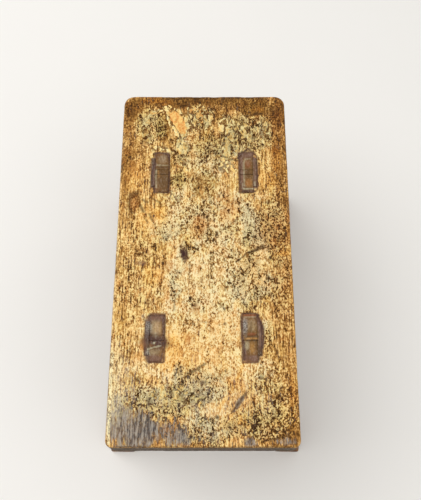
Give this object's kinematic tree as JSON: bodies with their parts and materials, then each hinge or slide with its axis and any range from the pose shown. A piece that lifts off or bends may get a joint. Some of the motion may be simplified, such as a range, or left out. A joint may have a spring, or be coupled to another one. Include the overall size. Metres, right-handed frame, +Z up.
{
  "type": "hearth stool",
  "caption": "Low rectangular plank stool on raked legs with wedged through tenons and pegged rails, for sitting or resting feet beside a hearth.",
  "frame": {"origin": "on the floor, under the middle of the seat", "axes": "+Z up, +Y along the seat's length towards the back end, +X across it to the right"},
  "size_m": [0.2436, 0.404, 0.23],
  "materials": {
    "seat_wood": "old worn elm, golden tan with dark grain, stains and pale flaked patches, low sheen",
    "leg_wood": "aged brown elm with traces of an old dark stain, low sheen",
    "rail_wood": "aged brown elm, matt",
    "wedge_wood": "dark hardwood showing end grain on top",
    "slip_wood": "grey-brown hardwood slip, matt",
    "peg_wood": "split hardwood peg showing end grain"
  },
  "bodies": {
    "root": {"seat": "seat_wood", "leg_front_left": "leg_wood", "leg_front_right": "leg_wood", "leg_back_left": "leg_wood", "leg_back_right": "leg_wood", "wedge_front_left": "wedge_wood", "wedge_front_right": "wedge_wood", "wedge_back_left": "wedge_wood", "wedge_back_right": "wedge_wood", "slip_front_left": "slip_wood", "slip_front_right": "slip_wood", "slip_back_left": "slip_wood", "slip_back_right": "slip_wood", "end_rail_front": "rail_wood", "end_rail_back": "rail_wood", "side_rail_left": "rail_wood", "side_rail_right": "rail_wood", "end_peg_front_left": "peg_wood", "end_peg_front_right": "peg_wood", "end_peg_back_left": "peg_wood", "end_peg_back_right": "peg_wood", "side_peg_front_left": "peg_wood", "side_peg_front_right": "peg_wood", "side_peg_back_left": "peg_wood", "side_peg_back_right": "peg_wood"}
  },
  "joints": []
}
